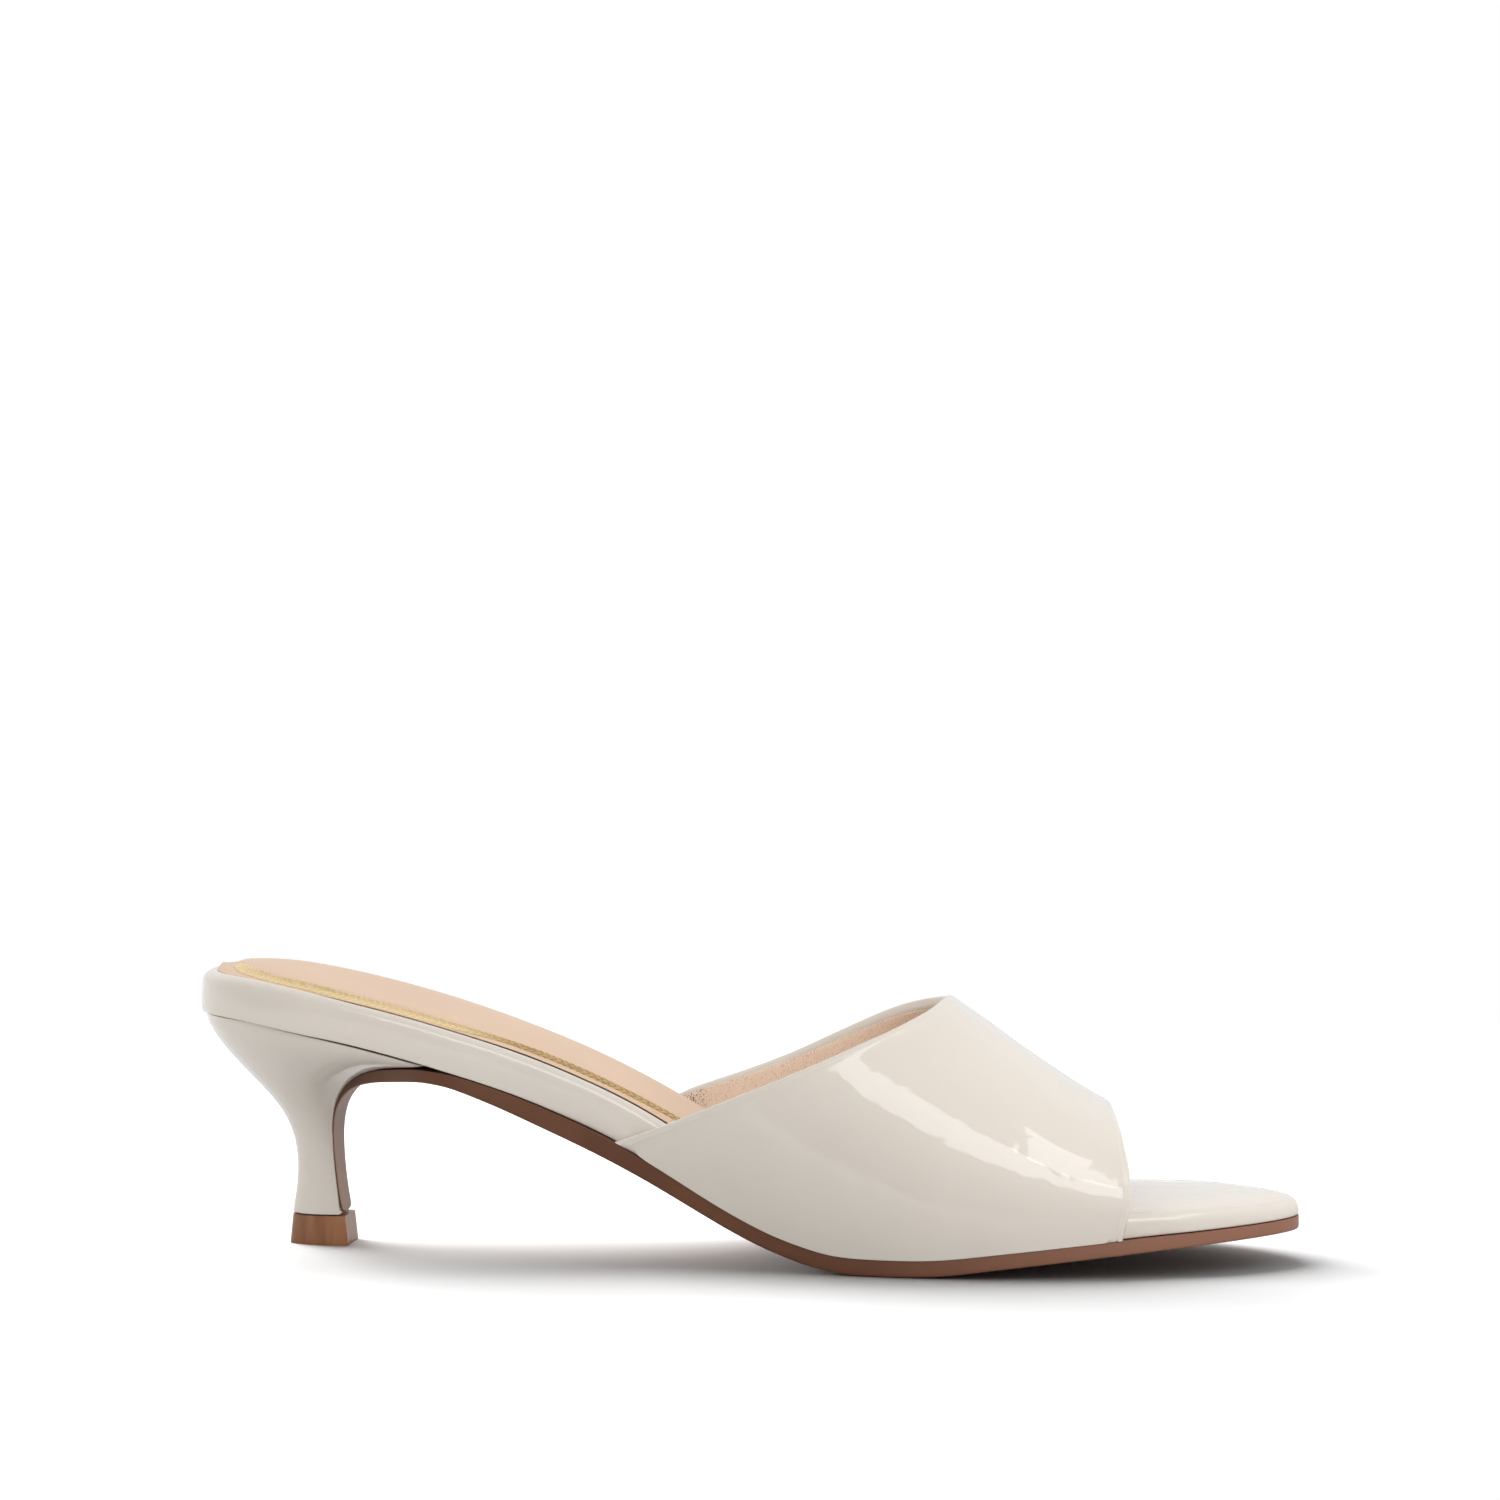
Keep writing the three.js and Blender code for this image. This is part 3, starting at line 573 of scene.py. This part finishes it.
def foil_material():
    """Gold foil in a fine braid of chevrons with duller gaps, bright with a painted reflection at the
    heel and dull at the waist.
    """
    material, tree, shader = new_material("gold_foil", Roughness=0.34)
    strip = axes_of(tree, place_of(tree, "UV"))
    off_middle = math_node(tree, "ABSOLUTE", math_node(tree, "SUBTRACT", strip["Y"], 0.5))
    along = math_node(tree, "MULTIPLY", strip["X"], FOIL_CHEVRONS)
    slant = math_node(tree, "MULTIPLY", off_middle, CHEVRON_SLANT)
    chevron = math_node(tree, "FRACT", math_node(tree, "ADD", along, slant))
    gilt = ramp(tree, math_node(tree, "PINGPONG", chevron, 0.5), low=0.06, high=0.18)
    wear = noise(tree, place_of(tree), scale=700.0, detail=3.0)
    rubbed = ramp(tree, wear, low=0.36, high=0.5, start=0.35, end=1.0)
    gold = math_node(tree, "MULTIPLY", gilt, rubbed)
    # Painted reflection: the foil is bright at the heel and fades along the strip to duller gold at the
    # waist
    glint_fade = ramp(tree, strip["X"], low=0.52, high=0.66)
    bright = blend_colours(tree, gold, GOLD_GROUND, GOLD)
    dull = blend_colours(tree, gold, GROUND_BEYOND_GLINT, GOLD_BEYOND_GLINT)
    fill(tree, shader, "Base Color", blend_colours(tree, glint_fade, bright, dull))
    fill(tree, shader, "Metallic", math_node(tree, "MULTIPLY", gold, FOIL_METAL))
    fill(tree, shader, "Normal", bump(tree, gilt, distance=0.05 * MM, strength=0.6))
    return material


patent = patent_material()
sock_leather = sock_material()
lining_cloth = lining_material()
sole_edge = sole_edge_material()
sole_tread = sole_tread_material()
tip_brown = tip_material()
gold_foil = foil_material()


# Vamp band with its turned-in edges, and the lining inside it
def inner_faces(vamp):
    """Goes into edit mode, marks the band's sharp edges and returns the faces of its inside."""
    mesh = into_edit(vamp, "EDGE")
    pick(vamp, mesh.edges, sharp)
    bpy.ops.mesh.mark_sharp()
    mesh = select_mode(vamp, "FACE")
    roof = [face for face in mesh.faces
            if face.normal.z < ROOF_NORMAL and face.calc_center_median().z > ROOF_HEIGHT]
    start = max(roof, key=lambda face: face.calc_center_median().z)
    start.select_set(True)
    mesh.faces.active = start
    bmesh.update_edit_mesh(vamp.data)
    bpy.ops.mesh.select_linked(delimit={"SHARP"})
    mesh = bmesh.from_edit_mesh(vamp.data)
    return {face.index for face in mesh.faces if face.select}


def separate_lining(vamp, inner):
    """Makes a piece of the band's inside, drawn in from its border, and leaves edit mode."""
    mesh = bmesh.from_edit_mesh(vamp.data)
    pick(vamp, mesh.faces, lambda face: face.index in inner)
    bpy.ops.mesh.duplicate()
    bpy.ops.mesh.separate(type="SELECTED")
    out_of_edit()
    lining = next(piece for piece in bpy.context.selected_objects if piece != vamp)
    lining.name = "vamp_lining"
    lining.data.name = "vamp_lining"
    into_edit(lining)
    bpy.ops.mesh.select_all(action="SELECT")
    bpy.ops.mesh.inset(thickness=LINING_MARGIN, use_boundary=True)
    bpy.ops.mesh.select_all(action="INVERT")
    bpy.ops.mesh.delete(type="FACE")
    out_of_edit()
    return lining


def band_edges(mesh, inner):
    """Finds the edges of the narrow rim underneath, the other rims, and the lines where the folds end."""

    def narrow_rim(face):
        narrow = face.calc_area() < FEATHER_AREA
        return narrow and face.normal.z < FEATHER_NORMAL and face.index not in inner

    def underneath(edge):
        return any(map(narrow_rim, edge.link_faces))

    def rim(edge):
        return sharp(edge) and not underneath(edge)

    def fold_end(edge):
        outside = all(face.index not in inner for face in edge.link_faces)
        rims = sum(rim(side) for face in edge.link_faces for side in face.edges)
        return outside and rims == 1 and not underneath(edge)

    feathers = {edge.index for edge in mesh.edges if sharp(edge) and underneath(edge)}
    rims = {edge.index for edge in mesh.edges if rim(edge)}
    fold_ends = {edge.index for edge in mesh.edges if fold_end(edge)}
    return feathers, rims, fold_ends


def finish_band_edges(vamp, inner):
    """Creases the edges underneath, raises a fine line where the folds end, and rounds the rims."""
    mesh = into_edit(vamp, "EDGE")
    feathers, rims, fold_ends = band_edges(mesh, inner)
    pick(vamp, mesh.edges, lambda edge: edge.index in feathers)
    bpy.ops.transform.edge_crease(value=1.0)

    mesh = bmesh.from_edit_mesh(vamp.data)
    rim_layer = mesh.edges.layers.int.new("rim")
    for edge in mesh.edges:
        edge[rim_layer] = edge.index in rims
    pick(vamp, mesh.edges, lambda edge: edge.index in fold_ends)
    bevel_selected(FOLD_LINE, segments=2, clamp=False)
    mesh = bmesh.from_edit_mesh(vamp.data)
    ridge = {vert.index for vert in mesh.verts if all(face.select for face in vert.link_faces)}
    mesh = select_mode(vamp, "VERT")
    pick(vamp, mesh.verts, lambda vert: vert.index in ridge)
    bpy.ops.transform.shrink_fatten(value=FOLD_PROUD)

    mesh = select_mode(vamp, "EDGE")
    rim_layer = mesh.edges.layers.int["rim"]
    pick(vamp, mesh.edges, lambda edge: edge[rim_layer] == 1)
    bevel_selected(EDGE_ROLL, segments=3)
    out_of_edit()


def weave_map(cloth):
    """Lays the threads along the shoe and round the section; one thread is one unit of the map."""
    uv = cloth.data.uv_layers.new(name="weave")
    for loop in cloth.data.loops:
        place = cloth.data.vertices[loop.vertex_index].co
        round_section = math.atan2(place.z - LINING_MIDDLE, -place.y) * LINING_RADIUS
        uv.data[loop.index].uv = (place.x / THREAD, round_section / THREAD)


def make_vamp():
    vamp = copy_of("upper", "vamp")
    inner = inner_faces(vamp)
    lining = separate_lining(vamp, inner)
    finish_band_edges(vamp, inner)
    smooth(vamp, 2)
    dress(vamp, patent, "patent", "upper")

    modify(lining, "SOLIDIFY", thickness=LINING_THICKNESS, offset=1.0)
    smooth(lining, 2)
    weave_map(lining)
    dress(lining, lining_cloth, "lining")


make_vamp()


# Footbed cover
def make_footbed():
    def end_of_heel(face):
        return abs(face.normal.z) < COVER_SIDE and face.calc_center_median().x < HEEL_END

    cover = copy_of("footbed", "footbed_cover")
    grow(cover, COVER_GROWTH, end_of_heel)
    smooth(cover, 2)
    dress(cover, patent, "patent", "footbed")


make_footbed()


# Sock, drawn out to the footbed's rim, with a flat border round the padded heel
def step_between(value, low, high):
    t = min(1, max(0, (value - low) / (high - low)))
    return t * t * (3 - 2 * t)


def edge_outline(piece):
    """The piece's outline in plan at its back, from the outer side round the heel to the inner one."""
    widest = {}
    for vert in piece.data.vertices:
        for hand in (-1, 1):
            key = (hand, round(vert.co.x / OUTLINE_STEP))
            if key not in widest or hand * vert.co.y > hand * widest[key].y:
                widest[key] = vert.co.copy()
    outer = [widest[key] for key in sorted((k for k in widest if k[0] < 0), key=lambda k: -k[1])]
    inner = [widest[key] for key in sorted((k for k in widest if k[0] > 0), key=lambda k: k[1])]
    return outer + inner


def distance_to(place, first, last):
    """Distance in plan from a place to the line between two others."""
    run = Vector((last.x - first.x, last.y - first.y))
    off = Vector((place.x - first.x, place.y - first.y))
    share = min(1, max(0, off.dot(run) / run.length_squared)) if run.length_squared else 0
    return (off - run * share).length


def press_border(sock):
    """Lowers the sock outside its heel pad, so that the pad ends in a small step."""
    edge = edge_outline(sock)
    for vert in sock.data.vertices:
        place = vert.co
        fade = step_between(place.x, *STEP_FADE)
        if fade >= 1:
            continue
        away = min(distance_to(place, first, last) for first, last in zip(edge, edge[1:]))
        low = 1 - step_between(away, SOCK_BORDER - STEP_WIDTH / 2, SOCK_BORDER + STEP_WIDTH / 2)
        off_edge = step_between(away, *EDGE_FADE)
        place.z -= SOCK_STEP * low * off_edge * (1 - fade)


def make_sock():
    sock = copy_of("insole", "sock")
    grow(sock, SOCK_PROUD, lambda face: abs(face.normal.z) < SOCK_SIDE)
    smooth(sock, 2, BLOCK_EDGE)
    press_border(sock)
    dress(sock, sock_leather, "sock", "insole")
    return sock


sock = make_sock()


# Gold line on the sock
def route_at(along, name):
    """The route's value at a place along the shoe, smoothly between its rows."""
    rows = FOIL_ROUTE
    k = 0
    while k < len(rows) - 2 and along > rows[k + 1]["along"]:
        k += 1
    first, last = rows[k], rows[k + 1]

    def slope(i):
        low, high = rows[max(0, i - 1)], rows[min(len(rows) - 1, i + 1)]
        return (high[name] - low[name]) / (high["along"] - low["along"])

    span = last["along"] - first["along"]
    t = (along - first["along"]) / span
    start = first[name] * (1 + 2 * t) * (1 - t) ** 2 + slope(k) * span * t * (1 - t) ** 2
    end = last[name] * t * t * (3 - 2 * t) + slope(k + 1) * span * t * t * (t - 1)
    return start + end


def places_along_route(step):
    """Places at even steps along the route: where each is, which way the line runs and how wide it is."""
    places = []
    travelled = 0.0
    along = FOIL_ROUTE[0]["along"]
    side = route_at(along, "side")
    while along < FOIL_ROUTE[-1]["along"]:
        following = route_at(along + ROUTE_STRIDE, "side")
        if travelled >= len(places) * step:
            heading = math.atan2(following - side, ROUTE_STRIDE)
            places.append((along * MM, side * MM, heading, route_at(along, "width")))
        travelled += math.hypot(ROUTE_STRIDE, following - side)
        along += ROUTE_STRIDE
        side = following
    return places


def make_gold_line(ground):
    """Sets a strip's columns along the route, drops it on the ground and gives it its thickness."""
    places = places_along_route(BRAID_STEP)
    level = cad_box[1][2] + DROP_HEIGHT
    bpy.ops.object.select_all(action="DESELECT")
    bpy.ops.mesh.primitive_grid_add(
        x_subdivisions=len(places) - 1, y_subdivisions=FOIL_ROWS, size=1, location=(0, 0, level)
    )
    line = bpy.context.object
    line.name = "gold_line"
    line.data.name = "gold_line"
    line.scale = (1, MM, 1)
    bpy.ops.object.transform_apply(location=True, rotation=True, scale=True)
    mesh = into_edit(line, "VERT")
    columns = {}
    for vert in mesh.verts:
        columns.setdefault(round(vert.co.x, 5), []).append(vert.index)
    for number, at in enumerate(sorted(columns)):
        along, side, heading, width = places[number]
        chosen = set(columns[at])
        pick(line, mesh.verts, lambda vert: vert.index in chosen)
        notch = 1 - BRAID_NOTCH * (number % 2)
        bpy.ops.transform.resize(value=(1, width * notch, 1), center_override=(at, 0, level))
        bpy.ops.transform.rotate(value=-heading, orient_axis="Z", center_override=(at, 0, level))
        bpy.ops.transform.translate(value=(along - at, side, 0))
        mesh = bmesh.from_edit_mesh(line.data)
    out_of_edit()
    modify(line, "SHRINKWRAP", target=ground, wrap_method="PROJECT", use_project_z=True,
           use_negative_direction=True, use_positive_direction=False, offset=FOIL_GAP)
    modify(line, "SOLIDIFY", thickness=FOIL_THICKNESS, offset=1.0)
    smooth(line, 0)
    dress(line, gold_foil, "foil")


make_gold_line(sock)


# Sole, with a polished edge and a pebbled tread that runs on down the heel's breast
def on_breast(face):
    return face.calc_center_median().x < BREAST_PLACE


def upper_side(face):
    """A face of the sole that lies against the footbed or the heel's breast."""
    return face.normal.z > SEAT_NORMAL or (face.normal.x < BREAST_NORMAL and on_breast(face))


def tread_side(face):
    return face.normal.z < -TREAD_NORMAL or (face.normal.x > TREAD_NORMAL and on_breast(face))


def make_sole():
    sole = copy_of("outsole", "sole")
    grow(sole, SOLE_CLOSING, upper_side)
    mesh = into_edit(sole, "EDGE")
    pick(sole, mesh.edges, lambda edge: sharp(edge, BLOCK_EDGE) and any(map(upper_side, edge.link_faces)))
    bpy.ops.transform.edge_crease(value=1.0)
    out_of_edit()
    smooth(sole, 2)
    dress(sole, sole_edge, "sole", "outsole")
    sole.data.materials.append(sole_tread)
    mesh = into_edit(sole)
    pick(sole, mesh.faces, tread_side)
    sole.active_material_index = 1
    bpy.ops.object.material_slot_assign()
    out_of_edit()


make_sole()


# Heel, drawn up to the footbed
def make_heel():
    def seat(face):
        return face.normal.z > HEEL_TOP and face.calc_center_median().z > HEEL_TOP_HEIGHT

    block = copy_of("heel", "covered_heel")
    grow(block, HEEL_CLOSING, seat)
    grow(block, BLOCK_GROWTH, lambda face: abs(face.normal.z) < HEEL_TOP)
    round_block(block)
    smooth(block, 2)
    dress(block, patent, "patent", "heel")


make_heel()


# Wear tip
def make_tip():
    tip = copy_of("top_piece", "wear_tip")
    round_block(tip)
    smooth(tip, 1)
    dress(tip, tip_brown, "tip", "top_piece")


make_tip()


# Floor, light and camera
def make_floor():
    """A white floor that throws back little light, takes the shadow near the shoe and glows beyond it."""
    bpy.ops.object.select_all(action="DESELECT")
    bpy.ops.mesh.primitive_plane_add(size=FLOOR_SIZE, location=(0, 0, 0))
    floor = bpy.context.object
    floor.name = "studio_floor"
    material, tree, shader = new_material("pale_floor", Roughness=1.0, Specular_IOR_Level=0.0)
    path = tree.nodes.new("ShaderNodeLightPath")
    seen = path.outputs["Is Camera Ray"]
    fill(tree, shader, "Base Color", blend_colours(tree, seen, FLOOR_BOUNCE, FLOOR_SEEN))
    glow = tree.nodes.new("ShaderNodeEmission")
    mix = tree.nodes.new("ShaderNodeMixShader")
    distance = tree.nodes.new("ShaderNodeVectorMath")
    distance.operation = "LENGTH"
    fill(tree, distance, 0, place_of(tree))
    out = next(node for node in tree.nodes if node.type == "OUTPUT_MATERIAL")
    fill(tree, mix, 0, ramp(tree, distance.outputs["Value"], FLOOR_NEAR, FLOOR_FAR))
    tree.links.new(shader.outputs["BSDF"], mix.inputs[1])
    tree.links.new(glow.outputs["Emission"], mix.inputs[2])
    tree.links.new(mix.outputs["Shader"], out.inputs["Surface"])
    floor.data.materials.append(material)
    return floor


def make_world():
    """White to the camera; as light, bright low behind the shoe, dimmer above it and dim in front."""
    world = bpy.data.worlds.new("studio")
    bpy.context.scene.world = world
    world.use_nodes = True
    tree = world.node_tree
    tree.nodes.clear()
    out = tree.nodes.new("ShaderNodeOutputWorld")
    lit = tree.nodes.new("ShaderNodeBackground")
    seen = tree.nodes.new("ShaderNodeBackground")
    way = axes_of(tree, place_of(tree, "Generated"))
    back = ramp(tree, way["Z"], low=0.4, high=1.0, start=WORLD_BACK, end=WORLD_TOP)
    fill(tree, lit, "Strength", ramp(tree, way["Y"], low=-0.5, high=0.5, start=WORLD_FRONT, end=back))
    for shader in (lit, seen):
        fill(tree, shader, "Color", WHITE)
    path = tree.nodes.new("ShaderNodeLightPath")
    mix = tree.nodes.new("ShaderNodeMixShader")
    fill(tree, mix, 0, path.outputs["Is Camera Ray"])
    tree.links.new(lit.outputs["Background"], mix.inputs[1])
    tree.links.new(seen.outputs["Background"], mix.inputs[2])
    tree.links.new(mix.outputs["Shader"], out.inputs["Surface"])


def area_light(name, place, rotation, width, height, radiance):
    light = bpy.data.lights.new(name, "AREA")
    light.shape = "RECTANGLE"
    light.size = width
    light.size_y = height
    light.energy = radiance * width * height * math.pi
    lamp = bpy.data.objects.new(name, light)
    bpy.context.scene.collection.objects.link(lamp)
    lamp.location = place
    lamp.rotation_euler = rotation
    return lamp


def softbox(name, way, width, height, radiance, shows=True, distance=SOFTBOX_DISTANCE):
    """A panel that faces the vamp from a direction. One that isn't shown lights without a reflection."""
    place = VAMP_MIDDLE + Vector(way).normalized() * distance
    rotation = (VAMP_MIDDLE - place).to_track_quat("-Z", "Y").to_euler()
    lamp = area_light(name, place, rotation, width, height, radiance)
    lamp.visible_glossy = shows
    return lamp


def overhead_panel(name, across, along, radiance):
    """A level panel above the toe, whose edges the front of the vamp reflects."""
    rotation = (0, 0, math.radians(PANEL_TURN))
    lamp = area_light(name, PANEL_PLACE, rotation, across, along, radiance)
    lamp.visible_camera = False
    return lamp


def link_to_floor(floor, lamps, state):
    """Keeps these lamps off the floor, or on it alone."""
    group = bpy.data.collections.new("floor_" + state.lower())
    group.objects.link(floor)
    group.collection_objects[0].light_linking.link_state = state
    for lamp in lamps:
        lamp.light_linking.receiver_collection = group


def make_camera():
    data = bpy.data.cameras.new("photo_camera")
    data.sensor_width = SENSOR
    data.lens = CAMERA_LENS
    data.clip_start = 0.05
    data.clip_end = 60
    camera = bpy.data.objects.new("photo_camera", data)
    bpy.context.scene.collection.objects.link(camera)
    camera.location = CAMERA_PLACE
    camera.rotation_euler = (math.radians(90 - CAMERA_PITCH), 0, math.radians(CAMERA_AZIMUTH))
    bpy.context.scene.camera = camera


floor = make_floor()
make_world()
front_lights = [
    softbox("front_softbox", way=(0.23, -0.754, 0.616), width=0.72, height=0.33, radiance=3.2),
    overhead_panel("toe_panel", across=0.063, along=0.213, radiance=3.2),
    softbox("front_fill", way=(0.66, -0.55, 0.51), width=0.6, height=0.4, radiance=2.45, shows=False,
            distance=FILL_DISTANCE),
    softbox("heel_fill", way=(-0.85, -0.45, 0.3), width=0.9, height=0.9, radiance=1.6, shows=False),
]
softbox("back_key", way=KEY_WAY, width=1.0, height=0.9, radiance=2.2, shows=False)
floor_lights = [
    softbox("floor_key", way=KEY_WAY, width=1.0, height=0.9, radiance=3.6, shows=False),
    softbox("arch_light", way=(-0.8, 0.5, 0.35), width=1.0, height=0.5, radiance=8, shows=False),
]
link_to_floor(floor, front_lights, "EXCLUDE")
link_to_floor(floor, floor_lights, "INCLUDE")
make_camera()
bpy.context.scene.view_settings.view_transform = "Standard"
